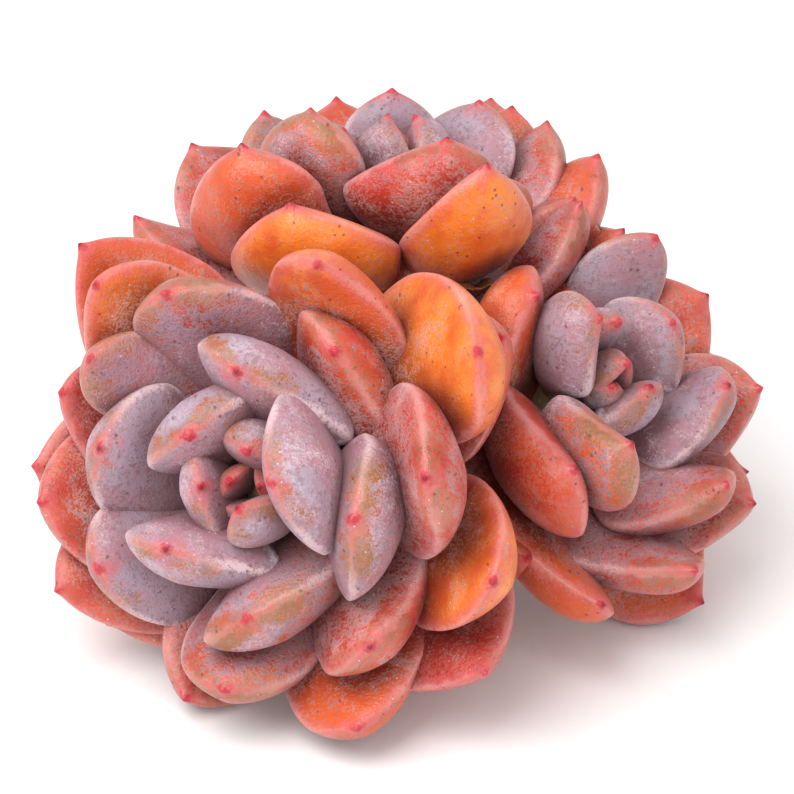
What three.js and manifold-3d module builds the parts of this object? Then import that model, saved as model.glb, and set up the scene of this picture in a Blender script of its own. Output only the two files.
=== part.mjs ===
// A clump of three succulent rosettes on one short branched stem, as picked, lying on a surface.
// Millimetres and degrees, +Z up. The origin is the middle of the stem's flat cut.
import * as THREE from "three";
import { mergeVertices } from "three/addons/utils/BufferGeometryUtils.js";
import Module from "manifold-3d";

// Fits and mesh fineness
const GAP = 0.35;
const LEAF_SIDES = 8;
const STATIONS = [0, 0.05, 0.3, 0.54, 0.75, 0.91, 1];
const MIDLINE_STEPS = 40;
const ROUND_SIDES = 12;
const FLOOR_BOX = 400;

// Leaf form at whole levels of a rosette, from the bud (0) out to the lowest whorl (5).
// radius and height place the leaf's root, rise and curl steer its midline, pointed goes from
// a blunt end to an ogive, face is the share of the thickness above the midline.
const LEVELS = [
  { radius: 1.5, height: 15, width: 10, thick: 5, rise: 75, curl: 15, pointed: 0.7, face: 0.3 },
  { radius: 3, height: 12, width: 20, thick: 10, rise: 55, curl: 52, pointed: 0.35, face: 0.4 },
  { radius: 5, height: 8, width: 26.5, thick: 13, rise: 30, curl: 64, pointed: 0.15, face: 0.42 },
  { radius: 7, height: 4, width: 29, thick: 13, rise: 6, curl: 70, pointed: 0.2, face: 0.38 },
  { radius: 8, height: 0, width: 31, thick: 12.5, rise: -4, curl: 62, pointed: 0.5, face: 0.3 },
  { radius: 8, height: -4, width: 30, thick: 10.5, rise: -14, curl: 46, pointed: 0.8, face: 0.25 },
];
const INNER_LEVEL = 2.6;

// Each leaf is [level, azimuth, length, extra rise, width factor, roll about its midline, sway of
// its end to one side in half widths], and those after the length may be left out.
const ROSETTES = [
  {
    name: "front",
    base: [-22, -42, 37],
    turn: -16,
    tilt: 28,
    pointed: 0,
    leaves: [
      [0, 30, 12], [0, 150, 12], [0, 270, 12], [1, 192, 18, 0, 0.95, 10, -0.2],
      [1, 316, 22, 15, 0.75, 0, -0.1], [1, 85, 20, -2, 0.9, -10], [1.9, 26, 33, 24, 1.2, -5],
      [2, 127, 26, 12, 1.05, 5, 0.2], [1.5, 248, 23, -3, 1.25, 15, -0.5],
      [2.2, 82, 29, 5, 1.2, -10, 0.4], [2.4, 358, 35, 11, 1.2, 5], [2.2, 301, 27, 2, 1.25, 5, -0.5],
      [3, 175, 32, 4, 1.05, -5, -0.1], [3, 220, 34, -6, 1, -15, -0.3],
      [3, 143, 41, -5, 0.75, 10, 0.4], [3, 50, 30, 5, 1.2, -5, 0.5], [3, 325, 38, 0, 1.05, -5, -0.3],
      [3, 274, 38, -2, 0.95, -5, -0.2], [3, 113, 41, -4, 1, 0, 0.4], [3.2, 16, 47, 16, 1.15, 0, -0.1],
      [4, 191, 41, -2, 1.1, 10], [4, 167, 40, -4, 0.9, 20, -0.2], [4, 216, 42, -9, 0.95, 0, -0.2],
      [4, 257, 39, -4, 0.85, -25, -0.1], [4, 308, 47, 5, 1.05, -5, -0.3],
      [4, 351, 51, 10, 1, -5, -0.1], [4, 72, 46, 12, 1, 5, 0.4], [3.8, 48, 56, 2, 1.3, -30, -0.5],
      [4, 140, 48, 4, 1, 10, -0.2], [5, 330, 51, 17, 1.25, -15], [5, 183, 43, 8, 1.2, 5],
      [5, 137, 55, 8, 1.1, 20], [5, 225, 37, 4, 1.1], [5, 105, 28], [4.4, 39, 48, -2, 1, -20, 0.1],
    ],
  },
  {
    name: "right",
    base: [30, -14, 37],
    turn: 40,
    tilt: 45,
    pointed: 0.35,
    leaves: [
      [0, 0, 12], [0, 122, 16, 17, 1, 10], [0, 240, 12], [1.2, 128, 26, 6, 1, 40, -0.2],
      [1, 286, 17, 0, 0.85, -5, 0.3], [1, 80, 20, 0, 0.75, 10, -0.2], [2, 12, 24, -3, 0.85, -5],
      [2, 223, 32, 10, 0.95, -40, 0.3], [3, 38, 36, -6, 0.75, 10, -0.1],
      [2.7, 316, 31, 14, 0.8, -5, 0.5], [3, 278, 35, 8, 0.85, 5, 0.6],
      [2.7, 204, 32, 13, 1.2, -23, 0.3], [2.7, 125, 28, 17, 1.05, 10, -0.2],
      [4, 257, 41, 12, 0.9, 0, 0.6], [4, 231, 42, 7, 0.85, -15, 0.6], [4, 294, 40, 2, 0.95, 20, 0.5],
      [4, 332, 38, 10, 0.9, 10, 0.3], [4, 11, 37], [4, 60, 38], [4, 100, 34], [4, 160, 36],
      [4, 195, 34], [4, 222, 33], [5, 285, 41, 9, 1.15, 30, -0.2], [5, 325, 40], [5, 355, 40],
      [5, 35, 40], [5, 85, 38],
    ],
  },
  {
    name: "rear",
    base: [0, 20, 56],
    turn: -5,
    tilt: 100,
    pointed: 0.45,
    leaves: [
      [0, 143, 12], [0, 25, 12], [0, 265, 12], [1, 105, 21, -2, 1.05], [1, 352, 17, 12, 1, 10],
      [1, 249, 19, 2, 0.75, -15, 0.1], [2, 40, 27, -2, 1.05, 10], [2, 215, 34, -3, 1.15, 20, 0.3],
      [2, 289, 32, -7, 1.25, -10, 0.2], [2, 160, 22], [2.5, 48, 33, -7, 0.95, 25, -0.1],
      [3, 28, 35, 3], [3, 117, 36], [3, 154, 34, 6, 1.05, -5, 0.1], [3, 217, 47, -1, 1.2, 40, 0.4],
      [3.2, 297, 49, 5, 0.95], [2.8, 322, 29], [3.2, 245, 45, -6, 1.3, 15, 0.1],
      [3.8, 339, 37, -1, 1.05, 25, 0.2], [3, 65, 38, 0, 1, 0, -0.1], [3.5, 0, 41, -1, 1.05, 20, 0.4],
      [3.5, 166, 42, -3, 1.2, -30, 0.1], [4, 194, 49, -9, 1, 0, 0.1],
      [4, 354, 41, -8, 1.05, 15, -0.1], [4, 60, 38], [4, 100, 38], [4, 135, 38], [4, 225, 21],
      [4, 256, 22], [4, 281, 22], [4, 328, 22], [5, 25, 40], [4.5, 80, 40], [4.5, 120, 40],
      [5, 160, 40], [1.4, 195, 19, -4, 1, 0, 0.2],
    ],
  },
];

// One withered leaf under the rear rosette: papery and narrow, its form given outright
const WITHERED = {
  rosette: "rear",
  leaf: {
    radius: 9, height: -2, width: 11, thick: 1.8, rise: 8, curl: 6, pointed: 0.7, face: 0.45,
    level: 5, azimuth: 303, length: 33, roll: 0, sway: 0,
  },
};

// Profiles of the short axis that the leaves grow from, as [radius, height] up a rosette's axis
const INNER_CORE = [[0, 5.5], [8.5, 5.5], [7, 11], [4, 15], [0, 18]];
const OUTER_CORE = [[0, -14], [7, -14], [10, -9], [11, 0], [9.5, 5], [0, 5]];
const CORE_FOOT = -14;

// Stem: a stub with a flat cut, and a branch to the foot of each rosette
const STEM_ROOT = [0, 0];
const STUB_RADIUS = 10;
const STUB_TOP = 17;
const BRANCH_RADIUS = 6.5;
const BRANCH_STEPS = 6;
const BRANCH_SIDES = 5;

const rad = THREE.MathUtils.degToRad;
const smooth = (x) => THREE.MathUtils.smoothstep(x, 0, 1);
const wasm = await Module();
wasm.setup();

// Solids

function solidOf(geometry, matrix) {
  const plain = geometry.clone();
  plain.deleteAttribute("normal");
  plain.deleteAttribute("uv");
  plain.clearGroups();
  if (matrix) plain.applyMatrix4(matrix);
  const merged = mergeVertices(plain, 1e-4);
  const vertProperties = new Float32Array(merged.attributes.position.array);
  const corners = merged.index.array;
  const kept = [];
  for (let i = 0; i < corners.length; i += 3) {
    const [a, b, c] = [corners[i], corners[i + 1], corners[i + 2]];
    if (a !== b && b !== c && a !== c) kept.push(a, b, c);
  }
  return new wasm.Manifold(new wasm.Mesh({ numProp: 3, vertProperties, triVerts: new Uint32Array(kept) }));
}

function geometryOf(solid) {
  const mesh = solid.getMesh();
  const geometry = new THREE.BufferGeometry();
  const position = new THREE.BufferAttribute(new Float32Array(mesh.vertProperties), 3);
  geometry.setAttribute("position", position);
  geometry.setIndex(new THREE.BufferAttribute(new Uint32Array(mesh.triVerts), 1));
  geometry.computeVertexNormals();
  return geometry;
}

const union = (solids) => wasm.Manifold.union(solids);

function largestBody(solid) {
  const bodies = solid.decompose();
  return bodies.reduce((best, body) => (body.volume() > best.volume() ? body : best));
}

// Leaves

function formAt(level) {
  const low = Math.min(Math.floor(level), LEVELS.length - 2);
  const form = {};
  for (const key of Object.keys(LEVELS[low])) {
    form[key] = THREE.MathUtils.lerp(LEVELS[low][key], LEVELS[low + 1][key], level - low);
  }
  return form;
}

function leafOf(rosette, [level, azimuth, length, lift = 0, widen = 1, roll = 0, sway = 0]) {
  const form = formAt(level);
  form.width *= widen;
  form.thick *= widen ** 0.6;
  form.rise += lift;
  form.pointed = Math.min(1, form.pointed + rosette.pointed);
  return { ...form, level, azimuth, length, roll, sway };
}

// The midline climbs from the root at the rise angle and turns up by the curl towards the tip.
function midline(leaf, grow) {
  const points = [[0, 0]];
  const step = (leaf.length + grow) / MIDLINE_STEPS;
  for (let i = 0; i < MIDLINE_STEPS; i++) {
    const angle = rad(leaf.rise + leaf.curl * ((i + 0.5) / MIDLINE_STEPS) ** 1.5);
    const [out, up] = points[i];
    points.push([out + step * Math.cos(angle), up + step * Math.sin(angle)]);
  }
  return points;
}

function sectionAt(leaf, along, grow) {
  const end = Math.max(0, (along - 0.5) / 0.5);
  const body = 0.34 + 0.66 * smooth(along / 0.64);
  const blunt = (1 - end ** 2.6) ** 0.5;
  const sharp = (1 - end ** 2) ** 0.85;
  const bluntDepth = (1 - end ** 3) ** 0.5;
  const sharpDepth = (1 - end ** 2.2) ** 0.6;
  const depth = leaf.thick * (0.6 + 0.4 * smooth(along / 0.5));
  const depthEnd = THREE.MathUtils.lerp(bluntDepth, sharpDepth, leaf.pointed);
  return {
    half: (leaf.width / 2) * body * THREE.MathUtils.lerp(blunt, sharp, leaf.pointed) + grow,
    above: depth * leaf.face * depthEnd + grow,
    below: depth * (1 - leaf.face) * depthEnd + grow,
  };
}

// A leaf is a sphere whose rows become its stations: nearly flat above, full and keeled below.
function leafGeometry(leaf, grow) {
  const rows = STATIONS.length - 1;
  const geometry = new THREE.SphereGeometry(1, LEAF_SIDES, rows);
  const { position, uv } = geometry.attributes;
  const line = midline(leaf, grow);
  for (let i = 0; i < position.count; i++) {
    const row = Math.round((1 - uv.getY(i)) * rows);
    const around = Math.round(uv.getX(i) * LEAF_SIDES) * ((2 * Math.PI) / LEAF_SIDES);
    const along = STATIONS[row];
    const pole = row === 0 || row === rows;
    const section = sectionAt(leaf, along, grow);
    const side = pole ? 0 : -Math.cos(around);
    const high = pole ? 0 : Math.sin(around);
    const edge = Math.abs(side) > 0.999;
    const rise = high > 0 ? section.above * (1 - Math.abs(side) ** 3) : section.below * high;
    const sway = ((leaf.sway * leaf.width) / 2) * smooth((along - 0.45) / 0.55);
    const across = new THREE.Vector2(side * section.half + sway, pole || edge ? 0 : rise);
    across.rotateAround(new THREE.Vector2(), rad(leaf.roll) * smooth(along / 0.6));
    const [out, up] = line[Math.round(along * MIDLINE_STEPS)];
    const angle = rad(leaf.rise + leaf.curl * along ** 1.5);
    const x = leaf.radius + out - Math.sin(angle) * across.y;
    const z = leaf.height + up + Math.cos(angle) * across.y;
    position.setXYZ(i, x, across.x, z);
  }
  return geometry;
}

const turnTo = (azimuth) => new THREE.Matrix4().makeRotationZ(rad(azimuth));

function leafSolid(leaf, grow) {
  return solidOf(leafGeometry(leaf, grow), turnTo(leaf.azimuth));
}

// Rosettes

function frameOf(rosette) {
  const [turn, tilt] = [rad(rosette.turn), rad(rosette.tilt)];
  const up = new THREE.Vector3(Math.cos(tilt) * Math.sin(turn), -Math.cos(tilt) * Math.cos(turn), Math.sin(tilt));
  const across = new THREE.Vector3(Math.cos(turn), Math.sin(turn), 0);
  const away = new THREE.Vector3().crossVectors(up, across);
  return new THREE.Matrix4().makeBasis(across, away, up).setPosition(...rosette.base);
}

function coreSolid(profile, grow) {
  const [bottom, top] = [profile[0][1], profile.at(-1)[1]];
  const points = profile.map(([radius, height]) => {
    const out = radius > 0 ? radius + grow : 0;
    const lift = height === top ? grow : height === bottom ? -grow : 0;
    return new THREE.Vector2(out, height + lift);
  });
  const upright = new THREE.Matrix4().makeRotationX(Math.PI / 2);
  return solidOf(new THREE.LatheGeometry(points, ROUND_SIDES), upright);
}

const coreOf = (rosette, profile, grow) => coreSolid(profile, grow).transform(frameOf(rosette).elements);

function wholeOf(rosette, inner, grow) {
  const leaves = rosette.leaves.map((row) => leafOf(rosette, row));
  const wanted = leaves.filter((leaf) => leaf.level < INNER_LEVEL === inner);
  const blades = union(wanted.map((leaf) => leafSolid(leaf, grow)));
  const core = coreOf(rosette, inner ? INNER_CORE : OUTER_CORE, grow);
  return blades.transform(frameOf(rosette).elements).add(core);
}

function witheredLeaf(grow) {
  const rosette = ROSETTES.find((one) => one.name === WITHERED.rosette);
  return leafSolid(WITHERED.leaf, grow).transform(frameOf(rosette).elements);
}

// Stem

function branchTo(rosette, grow) {
  const frame = frameOf(rosette);
  const foot = new THREE.Vector3(0, 0, CORE_FOOT - GAP + grow).applyMatrix4(frame);
  const below = new THREE.Vector3(0, 0, CORE_FOOT - 8).applyMatrix4(frame);
  const [x, y] = STEM_ROOT;
  const start = new THREE.Vector3(x, y, 6);
  const path = new THREE.CubicBezierCurve3(start, new THREE.Vector3(x, y, STUB_TOP), below, foot);
  const round = new THREE.Shape().absarc(0, 0, BRANCH_RADIUS + grow, 0, 2 * Math.PI);
  const settings = { steps: BRANCH_STEPS, curveSegments: BRANCH_SIDES, extrudePath: path };
  return solidOf(new THREE.ExtrudeGeometry(round, settings));
}

function stemSolid(grow) {
  const radius = STUB_RADIUS + grow;
  const profile = [[0, -grow], [radius * 0.9, -grow], [radius, 4], [radius * 0.92, STUB_TOP - 5], [0, STUB_TOP]];
  const points = profile.map(([out, height]) => new THREE.Vector2(out, height));
  const place = new THREE.Matrix4().makeRotationX(Math.PI / 2).setPosition(...STEM_ROOT, 0);
  const stub = solidOf(new THREE.LatheGeometry(points, ROUND_SIDES), place);
  return union([stub, ...ROSETTES.map((rosette) => branchTo(rosette, grow))]);
}

// Assembly: the stem first, then each rosette cut clear of what stands in front of it

const material = (color, roughness) => new THREE.MeshStandardMaterial({ color, roughness, metalness: 0 });
const lavender = material(0xc3a3b8, 0.6);
const orange = material(0xdb6a45, 0.55);
const bark = material(0x9a7f63, 0.85);
const papery = material(0x8a5a3a, 0.8);

const plant = new THREE.Group();
const floorBox = new THREE.BoxGeometry(FLOOR_BOX, FLOOR_BOX, FLOOR_BOX);
const belowFloor = solidOf(floorBox, new THREE.Matrix4().makeTranslation(0, 0, -FLOOR_BOX / 2));
const taken = [belowFloor, stemSolid(GAP)];

function addPiece(name, solid, skin) {
  const mesh = new THREE.Mesh(geometryOf(solid), skin);
  mesh.name = name;
  plant.add(mesh);
}

addPiece("stem", stemSolid(0), bark);
for (const rosette of ROSETTES) {
  if (rosette.name === WITHERED.rosette) {
    const reach = wholeOf(rosette, true, GAP).add(coreOf(rosette, OUTER_CORE, GAP));
    addPiece("withered_leaf", largestBody(witheredLeaf(0).subtract(union([...taken, reach]))), papery);
    taken.push(witheredLeaf(GAP));
  }
  const innerGrown = wholeOf(rosette, true, GAP);
  const inner = largestBody(wholeOf(rosette, true, 0).subtract(union(taken)));
  const outer = largestBody(wholeOf(rosette, false, 0).subtract(union([...taken, innerGrown])));
  addPiece(rosette.name + "_inner_leaves", inner, lavender);
  addPiece(rosette.name + "_outer_leaves", outer, orange);
  taken.push(innerGrown, wholeOf(rosette, false, GAP));
}

export default plant;
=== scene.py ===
# A clump of three echeveria rosettes, as picked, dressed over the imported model.
# Lengths in the tables are millimetres and angles are degrees; meshes are made in metres, +Z up.
import math
from types import SimpleNamespace

import bpy
import numpy as np
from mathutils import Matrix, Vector


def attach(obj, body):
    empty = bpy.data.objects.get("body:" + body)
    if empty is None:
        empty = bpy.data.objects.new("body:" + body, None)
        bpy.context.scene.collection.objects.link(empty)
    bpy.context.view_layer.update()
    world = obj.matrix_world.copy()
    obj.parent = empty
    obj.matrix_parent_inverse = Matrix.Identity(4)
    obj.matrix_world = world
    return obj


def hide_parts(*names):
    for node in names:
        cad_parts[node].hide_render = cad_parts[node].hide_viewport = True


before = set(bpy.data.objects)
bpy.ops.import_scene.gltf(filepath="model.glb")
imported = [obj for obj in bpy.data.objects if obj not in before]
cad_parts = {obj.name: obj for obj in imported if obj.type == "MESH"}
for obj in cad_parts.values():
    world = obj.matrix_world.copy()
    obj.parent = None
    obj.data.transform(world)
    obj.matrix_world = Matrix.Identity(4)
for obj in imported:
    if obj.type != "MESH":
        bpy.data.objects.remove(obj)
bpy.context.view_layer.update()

MM = 0.001
SCENE = bpy.context.scene

# Camera, as the photograph was taken
CAMERA_TARGET = (0.0, -12.0, 40.0)
CAMERA_DISTANCE = 700.0
CAMERA_ELEVATION = 30.0
SENSOR = 36.0
PHOTO_SIDE = 794
FOCAL_PIXELS = 3500.0

# Leaf form at whole levels of a rosette, from the bud (0) out to the lowest whorl (5)
FORM_KEYS = ("radius", "height", "width", "thick", "rise", "curl", "pointed", "face")
LEVELS = (
    (1.5, 15, 10, 5, 75, 15, 0.7, 0.30),
    (3, 12, 20, 10, 55, 52, 0.35, 0.40),
    (5, 8, 26.5, 13, 30, 64, 0.15, 0.42),
    (7, 4, 29, 13, 6, 70, 0.2, 0.38),
    (8, 0, 31, 12.5, -4, 62, 0.5, 0.30),
    (8, -4, 30, 10.5, -14, 46, 0.8, 0.25),
)
INNER_LEVEL = 2.6

# Each leaf: level, azimuth, length, extra rise, width factor, roll about its midline, sway of its
# end to one side in half widths, bloom (0 bare to 1 thick powder), warmth (0 red to 1 yellow-orange)
ROSETTES = {
    "front": {
        "base": (-22, -42, 37), "turn": -16, "tilt": 28, "pointed": 0,
        "leaves": (
            (0, 30, 12, 0, 1, 0, 0, 0.9, 0.1), (0, 150, 12, 0, 1, 0, 0, 0.9, 0.1),
            (0, 270, 12, 0, 1, 0, 0, 0.9, 0.1), (1, 192, 18, 0, 0.95, 10, -0.2, 0.95, 0.2),
            (1, 316, 22, 15, 0.75, 0, -0.1, 0.9, 0.1), (1, 85, 20, -2, 0.9, -10, 0, 0.92, 0.2),
            (1.9, 26, 33, 24, 1.2, -5, 0, 0.92, 0.3), (2, 127, 26, 12, 1.05, 5, 0.2, 0.9, 0.3),
            (1.5, 248, 23, -3, 1.25, 15, -0.5, 0.88, 0.5),
            (2.2, 82, 29, 5, 1.2, -10, 0.4, 0.86, 0.4), (2.4, 358, 35, 11, 1.2, 5, 0, 0.62, 0.35),
            (2.2, 301, 27, 2, 1.25, 5, -0.5, 0.55, 0.45),
            (3, 175, 32, 4, 1.05, -5, -0.1, 0.9, 0.3), (3, 220, 34, -6, 1, -15, -0.3, 0.8, 0.45),
            (3, 143, 41, -5, 0.75, 10, 0.4, 0.55, 0.3), (3, 50, 30, 5, 1.2, -5, 0.5, 0.28, 0.35),
            (3, 325, 38, 0, 1.05, -5, -0.3, 0.28, 0.2),
            (3, 274, 38, -2, 0.95, -5, -0.2, 0.42, 0.3), (3, 113, 41, -4, 1, 0, 0.4, 0.5, 0.15),
            (3.2, 16, 47, 16, 1.15, 0, -0.1, 0.3, 0.2), (4, 191, 41, -2, 1.1, 10, 0, 0.18, 0.3),
            (4, 167, 40, -4, 0.9, 20, -0.2, 0.1, 0), (4, 216, 42, -9, 0.95, 0, -0.2, 0.08, 0.3),
            (4, 257, 39, -4, 0.85, -25, -0.1, 0.28, 0.15),
            (4, 308, 47, 5, 1.05, -5, -0.3, 0.15, 0.6), (4, 351, 51, 10, 1, -5, -0.1, 0.06, 0.85),
            (4, 72, 46, 12, 1, 5, 0.4, 0.1, 0.75), (3.8, 48, 56, 2, 1.3, -30, -0.5, 0.05, 0.95),
            (4, 140, 48, 4, 1, 10, -0.2, 0.08, 0.8), (5, 330, 51, 17, 1.25, -15, 0, 0.02, 0.05),
            (5, 183, 43, 8, 1.2, 5, 0, 0.04, 0.4), (5, 137, 55, 8, 1.1, 20, 0, 0.06, 0.6),
            (5, 225, 37, 4, 1.1, 0, 0, 0.05, 0.4), (5, 105, 28, 0, 1, 0, 0, 0.08, 0.5),
            (4.4, 39, 48, -2, 1, -20, 0.1, 0.05, 0.6),
        ),
    },
    "right": {
        "base": (30, -14, 37), "turn": 40, "tilt": 45, "pointed": 0.35,
        "leaves": (
            (0, 0, 12, 0, 1, 0, 0, 0.9, 0.1), (0, 122, 16, 17, 1, 10, 0, 0.9, 0.1),
            (0, 240, 12, 0, 1, 0, 0, 0.9, 0.1), (1.2, 128, 26, 6, 1, 40, -0.2, 0.92, 0.2),
            (1, 286, 17, 0, 0.85, -5, 0.3, 0.9, 0.2), (1, 80, 20, 0, 0.75, 10, -0.2, 0.9, 0.2),
            (2, 12, 24, -3, 0.85, -5, 0, 0.88, 0.3), (2, 223, 32, 10, 0.95, -40, 0.3, 0.5, 0.75),
            (3, 38, 36, -6, 0.75, 10, -0.1, 0.8, 0.4), (2.7, 316, 31, 14, 0.8, -5, 0.5, 0.9, 0.4),
            (3, 278, 35, 8, 0.85, 5, 0.6, 0.4, 0.25),
            (2.7, 204, 32, 13, 1.2, -23, 0.3, 0.06, 0.3),
            (2.7, 125, 28, 17, 1.05, 10, -0.2, 0.1, 0.7),
            (4, 257, 41, 12, 0.9, 0, 0.6, 0.35, 0.2), (4, 231, 42, 7, 0.85, -15, 0.6, 0.08, 0.6),
            (4, 294, 40, 2, 0.95, 20, 0.5, 0.3, 0.15), (4, 332, 38, 10, 0.9, 10, 0.3, 0.3, 0.15),
            (4, 11, 37, 0, 1, 0, 0, 0.15, 0.3), (4, 60, 38, 0, 1, 0, 0, 0.3, 0.3),
            (4, 100, 34, 0, 1, 0, 0, 0.6, 0.3), (4, 160, 36, 0, 1, 0, 0, 0.1, 0.5),
            (4, 195, 34, 0, 1, 0, 0, 0.1, 0.5), (4, 222, 33, 0, 1, 0, 0, 0.1, 0.5),
            (5, 285, 41, 9, 1.15, 30, -0.2, 0.1, 0.4), (5, 325, 40, 0, 1, 0, 0, 0.1, 0.4),
            (5, 355, 40, 0, 1, 0, 0, 0.1, 0.4), (5, 35, 40, 0, 1, 0, 0, 0.1, 0.4),
            (5, 85, 38, 0, 1, 0, 0, 0.1, 0.4),
        ),
    },
    "rear": {
        "base": (0, 20, 56), "turn": -5, "tilt": 100, "pointed": 0.45,
        "leaves": (
            (0, 143, 12, 0, 1, 0, 0, 0.9, 0.1), (0, 25, 12, 0, 1, 0, 0, 0.9, 0.1),
            (0, 265, 12, 0, 1, 0, 0, 0.9, 0.1), (1, 105, 21, -2, 1.05, 0, 0, 1, 0.2),
            (1, 352, 17, 12, 1, 10, 0, 1, 0.2), (1, 249, 19, 2, 0.75, -15, 0.1, 1, 0.2),
            (2, 40, 27, -2, 1.05, 10, 0, 0.85, 0.3), (2, 215, 34, -3, 1.15, 20, 0.3, 0.45, 0.4),
            (2, 289, 32, -7, 1.25, -10, 0.2, 0.25, 0.15), (2, 160, 22, 0, 1, 0, 0, 0.85, 0.3),
            (2.5, 48, 33, -7, 0.95, 25, -0.1, 0.3, 0.5), (3, 28, 35, 3, 1, 0, 0, 0.35, 0.2),
            (3, 117, 36, 0, 1, 0, 0, 0.2, 0.4), (3, 154, 34, 6, 1.05, -5, 0.1, 0.6, 0.3),
            (3, 217, 47, -1, 1.2, 40, 0.4, 0.15, 0.55), (3.2, 297, 49, 5, 0.95, 0, 0, 0.03, 0.9),
            (2.8, 322, 29, 0, 1, 0, 0, 0.3, 0.4), (3.2, 245, 45, -6, 1.3, 15, 0.1, 0.02, 0.95),
            (3.8, 339, 37, -1, 1.05, 25, 0.2, 0.35, 0.1), (3, 65, 38, 0, 1, 0, -0.1, 0.4, 0.3),
            (3.5, 0, 41, -1, 1.05, 20, 0.4, 0.2, 0.5),
            (3.5, 166, 42, -3, 1.2, -30, 0.1, 0.35, 0.25), (4, 194, 49, -9, 1, 0, 0.1, 0.3, 0.3),
            (4, 354, 41, -8, 1.05, 15, -0.1, 0.1, 0.5), (4, 60, 38, 0, 1, 0, 0, 0.2, 0.3),
            (4, 100, 38, 0, 1, 0, 0, 0.2, 0.3), (4, 135, 38, 0, 1, 0, 0, 0.2, 0.3),
            (4, 225, 21, 0, 1, 0, 0, 0.1, 0.5), (4, 256, 22, 0, 1, 0, 0, 0.1, 0.5),
            (4, 281, 22, 0, 1, 0, 0, 0.1, 0.5), (4, 328, 22, 0, 1, 0, 0, 0.1, 0.5),
            (5, 25, 40, 0, 1, 0, 0, 0.1, 0.4), (4.5, 80, 40, 0, 1, 0, 0, 0.1, 0.4),
            (4.5, 120, 40, 0, 1, 0, 0, 0.1, 0.4), (5, 160, 40, 0, 1, 0, 0, 0.1, 0.4),
            (1.4, 195, 19, -4, 1, 0, 0.2, 0.85, 0.2),
        ),
    },
}

# The withered leaf's form and place in the rear rosette's frame
WITHERED = {
    "radius": 9, "height": -2, "width": 11, "thick": 1.8, "rise": 8, "curl": 6, "pointed": 0.7,
    "face": 0.45, "level": 5, "azimuth": 303, "length": 33, "roll": 0, "sway": 0, "bloom": 0, "warmth": 0,
}

# Axis profiles as (radius, height), from one end of the axis to the other
INNER_CORE = ((0, 5.5), (8.5, 5.5), (7, 11), (4, 15), (0, 18))
OUTER_CORE = ((0, -14), (7, -14), (10, -9), (11, 0), (9.5, 5), (0, 5))
CORE_FOOT = -14.0

# Stem: a stub with a flat cut, and branches that leave it upwards and meet each rosette's foot
STUB_RADIUS = 10.0
STUB_TOP = 17.0
STUB = ((0, 0), (0.9 * STUB_RADIUS, 0), (STUB_RADIUS, 4), (0.92 * STUB_RADIUS, STUB_TOP - 5), (0, STUB_TOP))
BRANCH_RADIUS = 6.5
BRANCH_START = 6
BRANCH_STRAIGHT = 8
STEM_VOXEL = 0.7
BARK_FOLD = 4.0
BARK_DEPTH = 0.35
CUT_HEIGHT = 0.8

# Withered leaf: large folds, then small ones, as (length, depth)
WITHERED_FOLDS = ((9.0, 1.1), (3.5, 0.35))

# How far each leaf strays from its row
CURL_EASE = 1.5
SWELLS = 7
SWELL_SHARE = 0.011
DENTS = 3
DENT_SHARES = (0.02, 0.07)
LEAN = 0.05
ROLL_STRAY = 3
SPIKE_LEAST = 0.9
SPIKE_STRAY = 0.5
SPIKE_REACH = 1.1
BUD_SPIKE = 0.6

FLOOR_REST = 0.03

# Mesh fineness
LEAF_ROWS = 56
LEAF_SIDES = 56
MARGINS = (LEAF_SIDES // 4, 3 * LEAF_SIDES // 4)
MIDLINE_STEPS = 160
SHARP_RADIUS = 2.5
FOLD_WAVES = 12
FOLD_SUM = 3.5

# Random seeds: each leaf has its rosette's number times the step, plus its own
ROSETTE_SEEDS = 1000
WITHERED_SEED = 77
BARK_SEED = 5

# Values that each point of a leaf carries for the skin: share of the way to the tip, side (1 the
# upper face's middle, -1 the lower's), distance from the margin and from the tip, how sharply the
# surface bends, and the leaf's own bloom, warmth and seed
ATTRIBUTES = ("along", "upper", "rim", "tip", "turn", "bloom", "warmth", "seed")

# Noises of the leaf skin as (size, detail, roughness)
LEAF_NOISES = {
    "broad": (9.0, 1.0, 0.5),
    "middle": (3.0, 2.0, 0.6),
    "fine": (1.1, 2.0, 0.7),
    "grain": (0.45, 1.0, 0.7),
}
SHADE_REACH = 12.0

# Studio: sizes and places in metres, powers in watts; each light as (place, size, power)
FLOOR_HALF = 4
PAPER_WHITE = (0.92, 0.92, 0.92, 1)
PAPER_GLOW = 0.02
WHITE = (1, 1, 1, 1)
WORLD_STRENGTH = 0.86
LIGHTS = {
    "key": ((-0.3, -0.3, 0.7), 0.6, 5.2),
    "fill": ((0.3, -0.7, 0.4), 0.6, 0.5),
}


# Leaf shape

def smooth(x):
    x = np.clip(x, 0, 1)
    return x * x * (3 - 2 * x)


def basis(rosette):
    """The rosette's frame as rows across, away and up, and its base point."""
    turn, tilt = math.radians(rosette["turn"]), math.radians(rosette["tilt"])
    up = np.array([math.cos(tilt) * math.sin(turn), -math.cos(tilt) * math.cos(turn), math.sin(tilt)])
    across = np.array([math.cos(turn), math.sin(turn), 0])
    return np.array([across, np.cross(up, across), up]), np.array(rosette["base"], float)


def leaf_form(rosette, row):
    """A leaf's full measures: its row, and the form at its level."""
    level, azimuth, length, lift, widen, roll, sway, bloom, warmth = row
    low = min(int(level), len(LEVELS) - 2)
    share = level - low
    form = {k: a + (b - a) * share for k, a, b in zip(FORM_KEYS, LEVELS[low], LEVELS[low + 1])}
    form["width"] *= widen
    form["thick"] *= widen ** 0.6
    form["rise"] += lift
    form["pointed"] = min(1.0, form["pointed"] + rosette["pointed"])
    form.update(level=level, azimuth=azimuth, length=length, roll=roll, sway=sway)
    form.update(bloom=bloom, warmth=warmth)
    return form


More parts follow.
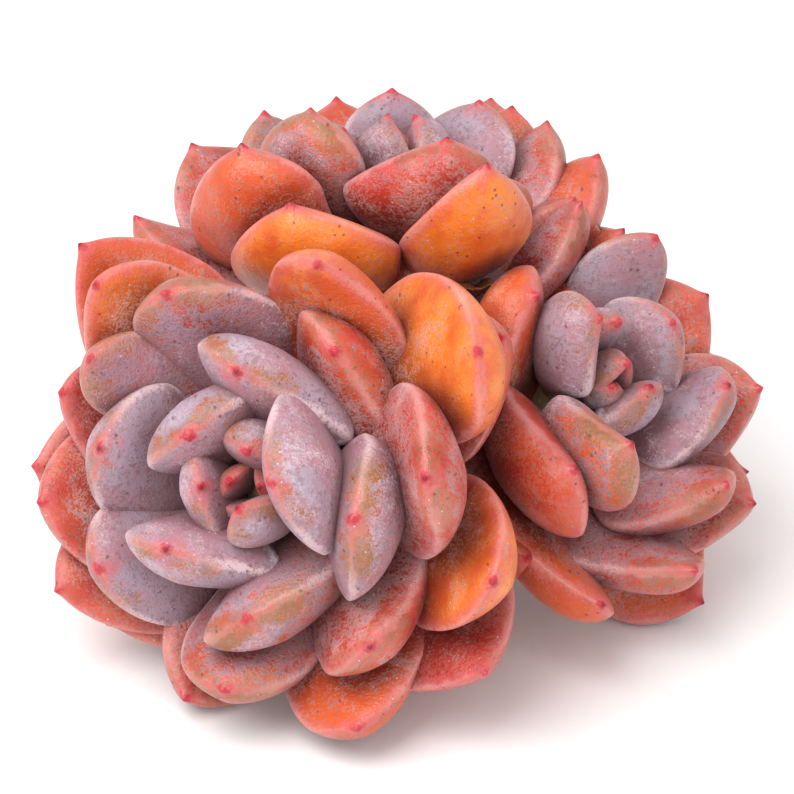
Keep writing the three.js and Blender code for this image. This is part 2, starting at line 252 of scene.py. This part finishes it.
def leaf_section(form, u):
    """Half width, and depth above and below the midline, at stations u."""
    q = np.clip((u - 0.5) / 0.5, 0, 1)
    p = form["pointed"]
    body = 0.34 + 0.66 * smooth(u / 0.64)
    half = form["width"] / 2 * body * ((1 - q ** 2.6) ** 0.5 * (1 - p) + (1 - q ** 2) ** 0.85 * p)
    end = (1 - q ** 3) ** 0.5 * (1 - p) + (1 - q ** 2.2) ** 0.6 * p
    depth = form["thick"] * (0.6 + 0.4 * smooth(u / 0.5)) * end
    return half, depth * form["face"], depth * (1 - form["face"])


def leaf_midline(form):
    """Fine stations along the leaf, and how far out and up its midline is at each."""
    fine = np.linspace(0, 1, MIDLINE_STEPS + 1)
    angle = np.radians(form["rise"] + form["curl"] * fine ** CURL_EASE)
    step = form["length"] / MIDLINE_STEPS
    out = np.concatenate([[0], np.cumsum(step * (np.cos(angle[1:]) + np.cos(angle[:-1])) / 2)])
    climb = np.concatenate([[0], np.cumsum(step * (np.sin(angle[1:]) + np.sin(angle[:-1])) / 2)])
    return fine, out, climb


def leaf_heights(form, u, side, high):
    """Half width, and height of the surface over the midline: a hump above and a keeled hull below."""
    half, above, below = leaf_section(form, u)
    keel = 0.14 * smooth((u - 0.35) / 0.5)
    towards_end = smooth((u - 0.3) / 0.4)
    hump = (1 - np.abs(side) ** (2.6 - 0.4 * towards_end)) ** 0.75
    hull = np.maximum(0, 1 - side ** 2) ** (0.5 + 0.08 * towards_end)
    hull = (1 - keel) * hull + keel * (1 - np.abs(side))
    return half, np.where(high > 0, above * hump, -below * hull)


def leaf_swell(u, phi, rng):
    """Slow swells and a few pressed dents, which keep leaves from looking cast."""
    swell = np.zeros((len(u), LEAF_SIDES))
    for _ in range(SWELLS):
        turns, cycles = rng.integers(1, 4), rng.uniform(0.4, 2.0)
        start, phase = rng.uniform(0, 2 * math.pi, 2)
        swell += SWELL_SHARE * np.sin(turns * phi + start) * np.sin(cycles * math.pi * u + phase)
    for _ in range(DENTS):
        where, turned = rng.uniform(0.45, 0.95), rng.uniform(0, 2 * math.pi)
        apart = (phi - turned + math.pi) % (2 * math.pi) - math.pi
        swell -= rng.uniform(*DENT_SHARES) * np.exp(-((u - where) / 0.16) ** 2 - (apart / 0.5) ** 2)
    return swell


def turning(rings):
    """How sharply the surface bends from root to tip at each point of the rings, 0 flat to 1 sharp."""
    around = np.roll(rings, -1, axis=1) - np.roll(rings, 1, axis=1)
    ahead = np.gradient(rings, axis=0)
    normal = np.cross(around, ahead)
    normal /= np.maximum(np.linalg.norm(normal, axis=2, keepdims=True), 1e-9)
    rate = np.abs((ahead * np.gradient(normal, axis=0)).sum(2)) / np.maximum((ahead ** 2).sum(2), 1e-6)
    return np.clip(rate * SHARP_RADIUS, 0, 1)


def margin_distance(rings):
    """How far each point is from the nearer margin, along its ring."""
    steps = np.linalg.norm(np.roll(rings, -1, axis=1) - rings, axis=2)
    walked = np.concatenate([np.zeros((len(rings), 1)), np.cumsum(steps, axis=1)], axis=1)
    here, total = walked[:, :-1], walked[:, -1:]
    rim = np.full_like(here, np.inf)
    for margin in MARGINS:
        gap = np.abs(here - here[:, margin:margin + 1])
        rim = np.minimum(rim, np.minimum(gap, total - gap))
    return rim


def leaf_surface(form, rings, apex, u, high, seed):
    """The leaf's values for the skin, ring by ring, then at the root and at the tip."""
    values = {
        "along": (np.broadcast_to(u, (len(u), LEAF_SIDES)), (0, 1)),
        "upper": (np.broadcast_to(high, (len(u), LEAF_SIDES)), (0, 0)),
        "rim": (margin_distance(rings), (5, 0)),
        "tip": (np.linalg.norm(rings - apex, axis=2), (form["length"], 0)),
        "turn": (turning(rings), (0, 1)),
    }
    surface = {key: np.concatenate([value.reshape(-1), ends]) for key, (value, ends) in values.items()}
    for key, value in (("bloom", form["bloom"]), ("warmth", form["warmth"]), ("seed", seed)):
        surface[key] = np.full(len(surface["along"]), value)
    return surface


def leaf_mesh(form, rng):
    """One leaf as points, faces and values for the skin, in its rosette's frame and millimetres."""
    fine, out, climb = leaf_midline(form)
    t = np.linspace(0, 1, LEAF_ROWS + 1)[1:-1]
    u = (1 - (1 - t) ** 2)[:, None]
    phi = (np.arange(LEAF_SIDES) * 2 * math.pi / LEAF_SIDES)[None, :]
    side, high = np.sin(phi), np.cos(phi)
    side[0, MARGINS] = 1, -1
    half, lift = leaf_heights(form, u, side, high)
    swell = leaf_swell(u, phi, rng)
    lean = rng.uniform(-LEAN, LEAN)
    across = half * side * (1 + swell + lean * side)
    lift = lift * (1 + swell)

    # The tip's small point stands on the pole of the leaf
    reach = np.hypot(across, lift)
    spike = (SPIKE_LEAST + SPIKE_STRAY * rng.random()) * (BUD_SPIKE if form["level"] < 1 else 1.0)
    push = spike * np.exp(-(reach / SPIKE_REACH) ** 1.5) * smooth((u - 0.88) / 0.08)

    # Sway carries the end to one side, and roll turns the leaf about its midline
    sway = form["sway"] * form["width"] / 2
    roll = math.radians(form["roll"]) + math.radians(rng.uniform(-ROLL_STRAY, ROLL_STRAY))
    across = across + sway * smooth((u - 0.45) / 0.55)
    rolled = roll * smooth(u / 0.6)
    cosine, sine = np.cos(rolled), np.sin(rolled)
    across, lift = across * cosine - lift * sine, across * sine + lift * cosine

    heading = np.radians(form["rise"] + form["curl"] * u ** CURL_EASE)
    x = form["radius"] + np.interp(u, fine, out) - np.sin(heading) * lift + np.cos(heading) * push
    z = form["height"] + np.interp(u, fine, climb) + np.cos(heading) * lift + np.sin(heading) * push
    rings = np.stack([x, across, z], -1)

    last = math.radians(form["rise"] + form["curl"])
    over, aside = sway * math.sin(roll), sway * math.cos(roll)
    root = np.array([form["radius"], 0, form["height"]])
    apex = np.array([
        form["radius"] + out[-1] + math.cos(last) * spike - math.sin(last) * over,
        aside,
        form["height"] + climb[-1] + math.sin(last) * spike + math.cos(last) * over,
    ])
    points = np.concatenate([rings.reshape(-1, 3), root[None], apex[None]])
    surface = leaf_surface(form, rings, apex, u, high, rng.random())
    faces = [face[:1] + face[:0:-1] for face in ring_faces(len(u), LEAF_SIDES)]

    spin = math.radians(form["azimuth"])
    c, s = math.cos(spin), math.sin(spin)
    return points @ np.array([[c, s, 0], [-s, c, 0], [0, 0, 1]]), faces, surface


# Round bodies, folds and pieces

def ring_faces(rows, sides):
    """Faces of a closed body of rings, with one point before the first and one after the last."""
    faces = []
    for i in range(rows - 1):
        for j in range(sides):
            k = (j + 1) % sides
            faces.append((i * sides + j, i * sides + k, (i + 1) * sides + k, (i + 1) * sides + j))
    first, last, last_row = rows * sides, rows * sides + 1, (rows - 1) * sides
    for j in range(sides):
        k = (j + 1) % sides
        faces.append((first, k, j))
        faces.append((last, last_row + j, last_row + k))
    return faces


def lathe_mesh(profile, sides=40, rings=10):
    """A closed turned body on the rosette's axis, with so many rings to each step of its profile."""
    profile = np.array(profile, float)
    marks = np.concatenate([[0], np.cumsum(np.linalg.norm(np.diff(profile, axis=0), axis=1))])
    where = np.linspace(0, marks[-1], rings * (len(profile) - 1) + 1)[1:-1]
    radius = np.interp(where, marks, profile[:, 0])
    height = np.interp(where, marks, profile[:, 1])
    phi = np.arange(sides) * 2 * math.pi / sides
    body = np.stack([
        radius[:, None] * np.cos(phi),
        radius[:, None] * np.sin(phi),
        np.broadcast_to(height[:, None], (len(where), sides)),
    ], -1)
    ends = [[0, 0, profile[0, 1]], [0, 0, profile[-1, 1]]]
    return np.concatenate([body.reshape(-1, 3), ends]), ring_faces(len(where), sides)


def tube_mesh(path, radius, sides=28, rings=30):
    """A closed round body along a cubic curve given by four points."""
    a, b, c, d = (np.array(point, float) for point in path)
    t = np.linspace(0, 1, rings)[:, None]
    middle = (1 - t) ** 3 * a + 3 * t * (1 - t) ** 2 * b + 3 * t ** 2 * (1 - t) * c + t ** 3 * d
    ahead = np.gradient(middle, axis=0)
    ahead /= np.linalg.norm(ahead, axis=1, keepdims=True)
    side = np.cross(ahead, [0.0, 1.0, 0.02])
    side /= np.linalg.norm(side, axis=1, keepdims=True)
    other = np.cross(ahead, side)
    phi = np.arange(sides) * 2 * math.pi / sides
    ring = side[:, None] * np.cos(phi)[None, :, None] + other[:, None] * np.sin(phi)[None, :, None]
    body = (middle[:, None] + radius * ring).reshape(-1, 3)
    return np.concatenate([body, middle[:1], middle[-1:]]), ring_faces(rings, sides)


def crumple(points, size, depth, rng):
    """Slow folds: each point moves by a sum of waves about `size` long and `depth` high."""
    moved = np.zeros_like(points)
    for _ in range(FOLD_WAVES):
        wave = rng.normal(size=3)
        wave *= 2 * math.pi / size / np.linalg.norm(wave) * rng.uniform(0.6, 1.7)
        moved += rng.normal(size=3) * np.sin(points @ wave + rng.uniform(0, 6.3))[:, None]
    return points + moved * depth / FOLD_SUM


def on_floor(points):
    """The lowest leaves lie pressed flat where they meet the surface."""
    points[:, 2] = np.maximum(points[:, 2], FLOOR_REST)
    return points


def make_piece(name, parts, materials):
    """Joins (points, faces, surface, material index) parts, in millimetres, into one object."""
    points, faces, indices, at = [], [], [], 0
    surface = {key: [] for key in ATTRIBUTES}
    for part_points, part_faces, part_surface, index in parts:
        points.append(part_points)
        faces.extend([tuple(at + v for v in face) for face in part_faces])
        indices.extend([index] * len(part_faces))
        for key in ATTRIBUTES:
            surface[key].append(part_surface.get(key, np.zeros(len(part_points))))
        at += len(part_points)
    mesh = bpy.data.meshes.new(name)
    mesh.from_pydata((np.concatenate(points) * MM).tolist(), [], faces)
    for key in ATTRIBUTES:
        layer = mesh.attributes.new(key, "FLOAT", "POINT")
        layer.data.foreach_set("value", np.concatenate(surface[key]).astype(np.float32))
    for material in materials:
        mesh.materials.append(material)
    mesh.polygons.foreach_set("material_index", np.array(indices, np.int32))
    mesh.shade_smooth()
    mesh.update()
    piece = bpy.data.objects.new(name, mesh)
    SCENE.collection.objects.link(piece)
    return piece


# Materials

def linear(red, green, blue):
    """An sRGB colour, 0 to 255, as Blender's linear values."""
    def one(v):
        v /= 255
        return v / 12.92 if v <= 0.04045 else ((v + 0.055) / 1.055) ** 2.4
    return one(red), one(green), one(blue), 1.0


class Graph:
    """A few short words for building a material's nodes."""

    def __init__(self, name):
        self.material = bpy.data.materials.new(name)
        self.material.use_nodes = True
        self.tree = self.material.node_tree
        self.tree.nodes.clear()
        self.place = self.add("ShaderNodeTexCoord").outputs["Object"]

    def add(self, kind, **settings):
        node = self.tree.nodes.new(kind)
        for key, value in settings.items():
            setattr(node, key, value)
        return node

    def plug(self, socket, value):
        """Links the value to the socket, or sets it there if it is a constant."""
        if isinstance(value, bpy.types.NodeSocket):
            self.tree.links.new(value, socket)
        else:
            socket.default_value = value

    def shift_by(self, amount):
        """Moves the patterns that follow, so that each leaf has its own."""
        moved = self.add("ShaderNodeVectorMath", operation="ADD")
        self.plug(moved.inputs[0], self.place)
        self.plug(moved.inputs[1], amount)
        self.place = moved.outputs[0]

    def shelter(self, reach_mm):
        """How open a point is, 1 in the open to 0 far in between leaves; it sets where shade is painted."""
        node = self.add("ShaderNodeAmbientOcclusion", samples=4)
        node.inputs["Distance"].default_value = reach_mm * MM
        return node.outputs["AO"]

    def value(self, name):
        return self.add("ShaderNodeAttribute", attribute_name=name).outputs["Fac"]

    def math(self, operation, a, b):
        node = self.add("ShaderNodeMath", operation=operation)
        self.plug(node.inputs[0], a)
        self.plug(node.inputs[1], b)
        return node.outputs[0]

    def times(self, a, b):
        return self.math("MULTIPLY", a, b)

    def larger(self, a, b):
        return self.math("MAXIMUM", a, b)

    def total(self, first, *others):
        for other in others:
            first = self.math("ADD", first, other)
        return first

    def centred(self, value):
        return self.math("SUBTRACT", value, 0.5)

    def step(self, value, low, high, to_low=0.0, to_high=1.0):
        """Goes smoothly from to_low, where the value is low, to to_high, where it is high."""
        node = self.add("ShaderNodeMapRange", interpolation_type="SMOOTHSTEP")
        for socket, given in zip(node.inputs, (value, low, high, to_low, to_high)):
            self.plug(socket, given)
        return node.outputs[0]

    def mix(self, share, a, b):
        node = self.add("ShaderNodeMix", data_type="RGBA")
        self.plug(node.inputs["Factor"], share)
        self.plug(node.inputs[6], a)
        self.plug(node.inputs[7], b)
        return node.outputs[2]

    def noise(self, size_mm, detail=3.0, roughness=0.55):
        node = self.add("ShaderNodeTexNoise")
        self.plug(node.inputs["Vector"], self.place)
        node.inputs["Scale"].default_value = 1 / (size_mm * MM)
        node.inputs["Detail"].default_value = detail
        node.inputs["Roughness"].default_value = roughness
        return node.outputs["Fac"]

    def spots(self, size_mm, reach, rarity, stretch=(1.0, 1.0, 1.0)):
        """Round marks in some of a grid of cells, longer across a direction of low stretch."""
        node = self.add("ShaderNodeTexVoronoi")
        scaled = self.add("ShaderNodeVectorMath", operation="MULTIPLY")
        self.plug(scaled.inputs[0], self.place)
        self.plug(scaled.inputs[1], stretch)
        self.plug(node.inputs["Vector"], scaled.outputs[0])
        node.inputs["Scale"].default_value = 1 / (size_mm * MM)
        mark = self.step(node.outputs["Distance"], reach, reach * 0.5)
        return self.times(mark, self.step(node.outputs["Color"], rarity, rarity + 0.04))

    def bump(self, height, distance_mm, strength=1.0):
        node = self.add("ShaderNodeBump")
        self.plug(node.inputs["Height"], height)
        node.inputs["Distance"].default_value = distance_mm * MM
        node.inputs["Strength"].default_value = strength
        return node.outputs["Normal"]

    def finish(self, colour, roughness, normal, **constants):
        """The shader itself; constants are its other inputs, with _ for a space."""
        shader = self.add("ShaderNodeBsdfPrincipled")
        self.plug(shader.inputs["Base Color"], colour)
        self.plug(shader.inputs["Roughness"], roughness)
        self.plug(shader.inputs["Normal"], normal)
        for key, value in constants.items():
            shader.inputs[key.replace("_", " ")].default_value = value
        output = self.add("ShaderNodeOutputMaterial")
        self.tree.links.new(shader.outputs[0], output.inputs[0])
        return self.material


FLESH_RED = linear(184, 50, 38)
FLESH_ORANGE = linear(214, 88, 36)
FLESH_YELLOW = linear(244, 132, 34)
FLESH_OLIVE = linear(150, 98, 62)
# Painted shade for the flesh, also the colour of its dark freckles
FLESH_SHADE_AND_FRECKLE = linear(104, 30, 24)
MARGIN_PINK = linear(206, 92, 94)
TIP_RED = linear(188, 28, 50)
TIP_DARK = linear(100, 8, 30)
POWDER_LILAC = linear(168, 148, 164)
POWDER_PINK = linear(172, 124, 138)
# Painted shade for the powder, also the colour of its mottling
POWDER_SHADE_AND_MOTTLE = linear(112, 72, 76)
# White powder, also the painted highlight on the folds
POWDER_WHITE_AND_HIGHLIGHT = linear(230, 218, 228)
PIT_BROWN = linear(92, 34, 36)
HAZE_PINK = linear(232, 186, 178)
SHEEN_PINK = linear(236, 214, 228)

BARK_TAN = linear(168, 134, 100)
BARK_OLIVE = linear(138, 126, 88)
BARK_PALE = linear(196, 172, 136)
BARK_DARK = linear(84, 60, 46)
PAPER_BROWN = linear(118, 70, 44)
PAPER_TAN = linear(168, 112, 70)
PAPER_DARK = linear(66, 36, 26)


def leaf_values(g):
    """What the leaf's skin is made from: the values its points carry, noises, where shade is painted, and
    the worn patch.
    """
    v = SimpleNamespace(**{key: g.value(key) for key in ATTRIBUTES})
    g.shift_by(v.seed)
    for key, (size, detail, roughness) in LEAF_NOISES.items():
        setattr(v, key, g.centred(g.noise(size, detail, roughness)))

    # Painted shade: darker towards the root and in the nooks between leaves
    nook_shade = g.step(g.shelter(SHADE_REACH), 0.85, 0.3)
    v.deep = g.larger(g.step(g.total(v.along, g.times(v.middle, 0.35)), 0.7, 0.3), nook_shade)

    # Patch: the worn end, an oblong beside the tip
    near_rim = g.step(g.total(v.rim, g.times(v.middle, 6.0)), 8.0, 2.0)
    v.patch = g.times(near_rim, g.step(v.tip, 17.0, 7.0))
    v.patch = g.times(v.patch, g.step(v.upper, 0.6, -0.1, 0.65, 1.0))
    return v


def leaf_flesh(g, v):
    """Flesh: red to orange to yellow, with shade painted darker towards the root and between leaves, pink
    along the margin.
    """
    warm = g.total(v.warmth, g.times(v.broad, 0.8), g.times(v.middle, 0.5))
    flesh = g.mix(g.step(warm, 0.0, 0.6), FLESH_RED, FLESH_ORANGE)
    flesh = g.mix(g.step(warm, 0.65, 1.1), flesh, FLESH_YELLOW)
    # Painted shade: the flesh darker towards the root and between leaves
    flesh = g.mix(g.times(v.deep, 0.85), flesh, FLESH_SHADE_AND_FRECKLE)
    near_rim = g.step(g.total(v.rim, g.times(v.middle, 4.0)), 3.6, 0.6)
    flesh = g.mix(g.times(near_rim, 0.5), flesh, MARGIN_PINK)

    # Olive where bloom is thick or worn at the end, which shows as the powder thins
    olive = g.step(g.total(v.bloom, g.times(v.fine, 0.8), g.times(v.patch, 0.3)), 0.3, 0.8)
    olive = g.times(olive, g.step(g.total(v.broad, v.middle), -0.35, 0.0, 0.6, 1.0))
    flesh = g.mix(olive, flesh, FLESH_OLIVE)

    # Dark freckles, then a thin pale haze, each weaker or stronger with the leaf's warmth
    freckles = g.step(g.total(v.grain, g.times(v.fine, 0.8), g.times(v.middle, 0.5)), 0.04, 0.2)
    flesh = g.mix(g.times(freckles, g.step(v.warmth, 0.1, 0.9, 0.6, 0.2)), flesh, FLESH_SHADE_AND_FRECKLE)
    haze = g.total(v.grain, g.times(v.fine, 0.8), g.times(v.broad, 0.8), g.times(v.warmth, -0.2))
    haze = g.times(g.step(haze, -0.2, 0.22), g.step(v.warmth, 0.0, 0.5, 0.16, 0.24))
    return g.mix(haze, flesh, HAZE_PINK)


def leaf_bloom(g, v, flesh):
    """Bloom: powder with a grainy torn edge, worn off the end patch. Returns colour and amount."""
    cover = g.total(
        g.times(v.bloom, 1.25), g.times(v.broad, 0.8), g.times(v.middle, 1.0), g.times(v.fine, 0.9),
        g.times(v.grain, 1.1), g.times(v.patch, -0.7), g.times(v.turn, 0.2), g.times(v.upper, 0.08),
        -0.04,
    )
    amount = g.step(cover, 0.1, 0.85, 0.0, 0.95)
    lilac_or_pink = g.step(g.total(v.broad, g.times(v.fine, 0.3)), -0.12, 0.12)
    powder = g.mix(lilac_or_pink, POWDER_LILAC, POWDER_PINK)
    # Painted shade on the powder, darker towards the root and between leaves
    powder = g.mix(g.times(v.deep, 0.8), powder, POWDER_SHADE_AND_MOTTLE)

    # Frost, white powder on the folds with a painted highlight along them, and rime, a pale line along the
    # margin away from the tip
    frost_and_highlight = g.step(g.total(v.turn, g.times(v.broad, 0.9), v.middle, g.times(v.grain, 1.2)), 0.15, 0.75)
    frost_and_highlight = g.times(frost_and_highlight, g.step(v.tip, 3.0, 9.0, 0.25, 0.7))
    rime = g.step(g.total(v.rim, g.times(v.middle, 3.0), g.times(v.grain, 2.0)), 1.6, 0.2, 0.0, 0.45)
    frost_and_highlight = g.larger(frost_and_highlight, g.times(rime, g.step(v.tip, 4.0, 12.0)))
    powder = g.mix(frost_and_highlight, powder, POWDER_WHITE_AND_HIGHLIGHT)

    # Pinker on bare leaves, and mottled
    powder = g.mix(g.step(v.bloom, 0.5, 0.1, 0.0, 0.65), powder, HAZE_PINK)
    mottle = g.step(g.total(v.middle, v.fine, v.grain), 0.0, 0.3)
    powder = g.mix(g.times(mottle, 0.55), powder, POWDER_SHADE_AND_MOTTLE)
    colour = g.mix(amount, flesh, powder)
    return g.mix(g.times(rime, 0.6), colour, HAZE_PINK), amount


def leaf_tip(g, v, colour):
    """A red streak along the margin near the tip, a pink flush round it, and the tip itself."""
    edge = g.total(v.rim, g.times(v.fine, 1.6), g.times(v.grain, 1.0))
    streak = g.times(g.step(edge, 1.5, 0.2), g.step(g.total(v.tip, g.times(v.middle, 8.0)), 12.0, 3.0))
    colour = g.mix(g.times(streak, 0.45), colour, FLESH_RED)
    flush = g.step(g.total(v.tip, g.times(v.middle, 11.0), g.times(v.grain, 4.0)), 4.8, 0.8)
    colour = g.mix(g.times(flush, 0.5), colour, MARGIN_PINK)
    red = g.step(g.total(v.tip, g.times(v.fine, 3.0), g.times(v.middle, 2.0)), 2.0, 0.7)
    colour = g.mix(g.times(red, 0.85), colour, TIP_RED)
    dark = g.times(g.step(v.tip, 0.9, 0.3), g.step(v.seed, 0.45, 0.6))
    return g.mix(g.times(dark, 0.8), colour, TIP_DARK)


def leaf_marks(g, v, colour):
    """Pits, short dashes and white specks. Returns colour and pits."""
    pit = g.spots(3.2, 0.12, 0.74)
    dash = g.times(g.spots(1.6, 0.26, 0.58, (1.0, 0.45, 1.0)), g.step(v.middle, -0.04, 0.08))
    colour = g.mix(g.times(g.larger(pit, dash), 0.65), colour, PIT_BROWN)
    speck = g.times(g.spots(1.2, 0.18, 0.72), g.step(v.broad, -0.06, 0.06))
    return g.mix(g.times(speck, 0.55), colour, POWDER_WHITE_AND_HIGHLIGHT), pit


def leaf_skin(name):
    g = Graph(name)
    v = leaf_values(g)
    colour, powder = leaf_bloom(g, v, leaf_flesh(g, v))
    colour, pit = leaf_marks(g, v, leaf_tip(g, v, colour))
    relief = g.total(
        g.times(v.middle, 2.0), g.times(v.fine, 1.4), v.grain, g.times(pit, -0.8), g.times(powder, 0.5),
    )
    return g.finish(
        colour, g.step(powder, 0.0, 0.9, 0.34, 0.54), g.bump(relief, 0.12, 0.7),
        Specular_IOR_Level=0.5, Sheen_Weight=0.1, Sheen_Roughness=0.4, Sheen_Tint=SHEEN_PINK,
    )


def bark_skin(name):
    """Dry bark in tan and olive, with pale patches and dark cracks."""
    g = Graph(name)
    broad, middle, fine = g.noise(6.0), g.noise(1.6, 4.0, 0.65), g.noise(0.4, 3.0, 0.6)
    colour = g.mix(g.step(broad, 0.3, 0.7), BARK_TAN, BARK_OLIVE)
    colour = g.mix(g.times(g.step(middle, 0.45, 0.7), 0.7), colour, BARK_PALE)
    colour = g.mix(g.times(g.step(fine, 0.55, 0.75), 0.5), colour, BARK_DARK)
    relief = g.total(g.times(middle, 0.8), g.times(fine, 0.4))
    return g.finish(colour, g.step(middle, 0.3, 0.7, 0.7, 0.9), g.bump(relief, 0.3))


def papery_skin(name):
    """Brown, dry and patchy, for the withered leaf."""
    g = Graph(name)
    broad, middle, fine = g.noise(5.0), g.noise(1.2, 4.0, 0.65), g.noise(0.35, 3.0, 0.6)
    colour = g.mix(g.step(broad, 0.3, 0.7), PAPER_BROWN, PAPER_TAN)
    colour = g.mix(g.times(g.step(middle, 0.5, 0.75), 0.7), colour, PAPER_DARK)
    relief = g.total(g.times(middle, 0.8), g.times(fine, 0.4))
    return g.finish(colour, g.step(fine, 0.3, 0.7, 0.6, 0.85), g.bump(relief, 0.25))


inner_skin = leaf_skin("inner_leaf_skin")
outer_skin = leaf_skin("outer_leaf_skin")
bark = bark_skin("stem_bark")


# Rosettes: each CAD node gets its fine leaves and its share of the axis

def dress_rosette(number, name, rosette):
    axes, base = basis(rosette)
    parts = {True: [], False: []}
    for index, row in enumerate(rosette["leaves"]):
        form = leaf_form(rosette, row)
        rng = np.random.default_rng(ROSETTE_SEEDS * number + index)
        points, faces, surface = leaf_mesh(form, rng)
        parts[form["level"] < INNER_LEVEL].append((on_floor(points @ axes + base), faces, surface, 0))
    for inner, profile in ((True, INNER_CORE), (False, OUTER_CORE)):
        points, faces = lathe_mesh(profile)
        parts[inner].append((points @ axes + base, faces, {}, 1))
        node = f"{name}_{'inner' if inner else 'outer'}_leaves"
        piece = make_piece(f"{node}_dressed", parts[inner], (inner_skin if inner else outer_skin, bark))
        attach(piece, "root")
        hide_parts(node)


for number, (name, rosette) in enumerate(ROSETTES.items()):
    dress_rosette(number, name, rosette)


# Withered leaf: thin, folded and curled

def dress_withered_leaf():
    rng = np.random.default_rng(WITHERED_SEED)
    axes, base = basis(ROSETTES["rear"])
    points, faces, surface = leaf_mesh(WITHERED, rng)
    points = points @ axes + base
    for size, depth in WITHERED_FOLDS:
        points = crumple(points, size, depth, rng)
    skin = papery_skin("withered_skin")
    withered = make_piece("withered_leaf_dressed", [(points, faces, surface, 0)], (skin,))
    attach(withered, "root")
    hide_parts("withered_leaf")


dress_withered_leaf()


# Stem: a stub with a flat cut and a branch to each rosette, grown into one skin

def stem_parts():
    """The stub and the branches, as bodies that overlap."""
    points, faces = lathe_mesh(STUB)
    parts = [(points, faces, {}, 0)]
    for rosette in ROSETTES.values():
        axes, base = basis(rosette)
        foot = np.array([0, 0, CORE_FOOT]) @ axes + base
        below = np.array([0, 0, CORE_FOOT - BRANCH_STRAIGHT]) @ axes + base
        path = ((0, 0, BRANCH_START), (0, 0, STUB_TOP), below, foot)
        points, faces = tube_mesh(path, BRANCH_RADIUS)
        parts.append((points, faces, {}, 0))
    return parts


def grow_together(piece):
    """Replaces a piece's overlapping bodies by one skin round them all."""
    join = piece.modifiers.new("join", "REMESH")
    join.mode = "VOXEL"
    join.voxel_size = STEM_VOXEL * MM
    bpy.context.view_layer.update()
    done = piece.evaluated_get(bpy.context.evaluated_depsgraph_get())
    grown = bpy.data.meshes.new_from_object(done)
    piece.modifiers.clear()
    piece.data = grown


def roughen_bark(mesh):
    """Folds the bark and rings it with faint leaf scars, and keeps the cut underneath flat."""
    places = np.empty(len(mesh.vertices) * 3, np.float32)
    mesh.vertices.foreach_get("co", places)
    places = places.reshape(-1, 3).astype(float) / MM
    scars = 0.35 * np.abs(np.sin(places @ np.array([0.5, 0.35, 1.1]))) ** 6
    rugged = crumple(places, BARK_FOLD, BARK_DEPTH, np.random.default_rng(BARK_SEED))
    rugged *= 1 + scars[:, None] * 0.01
    rugged[:, 2] = np.where(places[:, 2] < CUT_HEIGHT, np.maximum(places[:, 2], 0), rugged[:, 2])
    mesh.vertices.foreach_set("co", (rugged * MM).astype(np.float32).reshape(-1))
    mesh.shade_smooth()
    mesh.update()


stem = make_piece("stem_dressed", stem_parts(), (bark,))
grow_together(stem)
roughen_bark(stem.data)
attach(stem, "root")
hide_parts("stem")


# Floor, light and camera

def floor_paper():
    material = bpy.data.materials.new("studio_paper")
    material.use_nodes = True
    shader = material.node_tree.nodes["Principled BSDF"]
    shader.inputs["Base Color"].default_value = PAPER_WHITE
    shader.inputs["Roughness"].default_value = 0.9
    shader.inputs["Specular IOR Level"].default_value = 0.1
    shader.inputs["Emission Color"].default_value = WHITE
    shader.inputs["Emission Strength"].default_value = PAPER_GLOW
    return material


def add_floor():
    corners = [(-1, -1), (1, -1), (1, 1), (-1, 1)]
    mesh = bpy.data.meshes.new("studio_floor")
    mesh.from_pydata([(x * FLOOR_HALF, y * FLOOR_HALF, 0) for x, y in corners], [], [(0, 1, 2, 3)])
    mesh.materials.append(floor_paper())
    studio_floor = bpy.data.objects.new("studio_floor", mesh)
    SCENE.collection.objects.link(studio_floor)


def add_world():
    world = bpy.data.worlds.new("studio_white")
    world.use_nodes = True
    background = world.node_tree.nodes["Background"]
    background.inputs["Color"].default_value = WHITE
    background.inputs["Strength"].default_value = WORLD_STRENGTH
    SCENE.world = world


def add_light(name, place, size, power):
    data = bpy.data.lights.new(name, "AREA")
    data.energy = power
    data.size = size
    lamp = bpy.data.objects.new(name, data)
    lamp.location = place
    aim = Vector(CAMERA_TARGET) * MM - lamp.location
    lamp.rotation_euler = aim.to_track_quat("-Z", "Y").to_euler()
    SCENE.collection.objects.link(lamp)


def add_camera():
    camera = bpy.data.cameras.new("camera")
    camera.sensor_width = SENSOR
    camera.lens = FOCAL_PIXELS / PHOTO_SIDE * SENSOR
    camera.clip_start = 0.05
    eye = bpy.data.objects.new("camera", camera)
    lean = math.radians(CAMERA_ELEVATION)
    away = Vector((0, -math.cos(lean), math.sin(lean))) * CAMERA_DISTANCE
    eye.location = (Vector(CAMERA_TARGET) + away) * MM
    eye.rotation_euler = (math.pi / 2 - lean, 0, 0)
    SCENE.collection.objects.link(eye)
    SCENE.camera = eye


add_floor()
add_world()
for name, (place, size, power) in LIGHTS.items():
    add_light(name, place, size, power)
SCENE.view_settings.view_transform = "Standard"
add_camera()
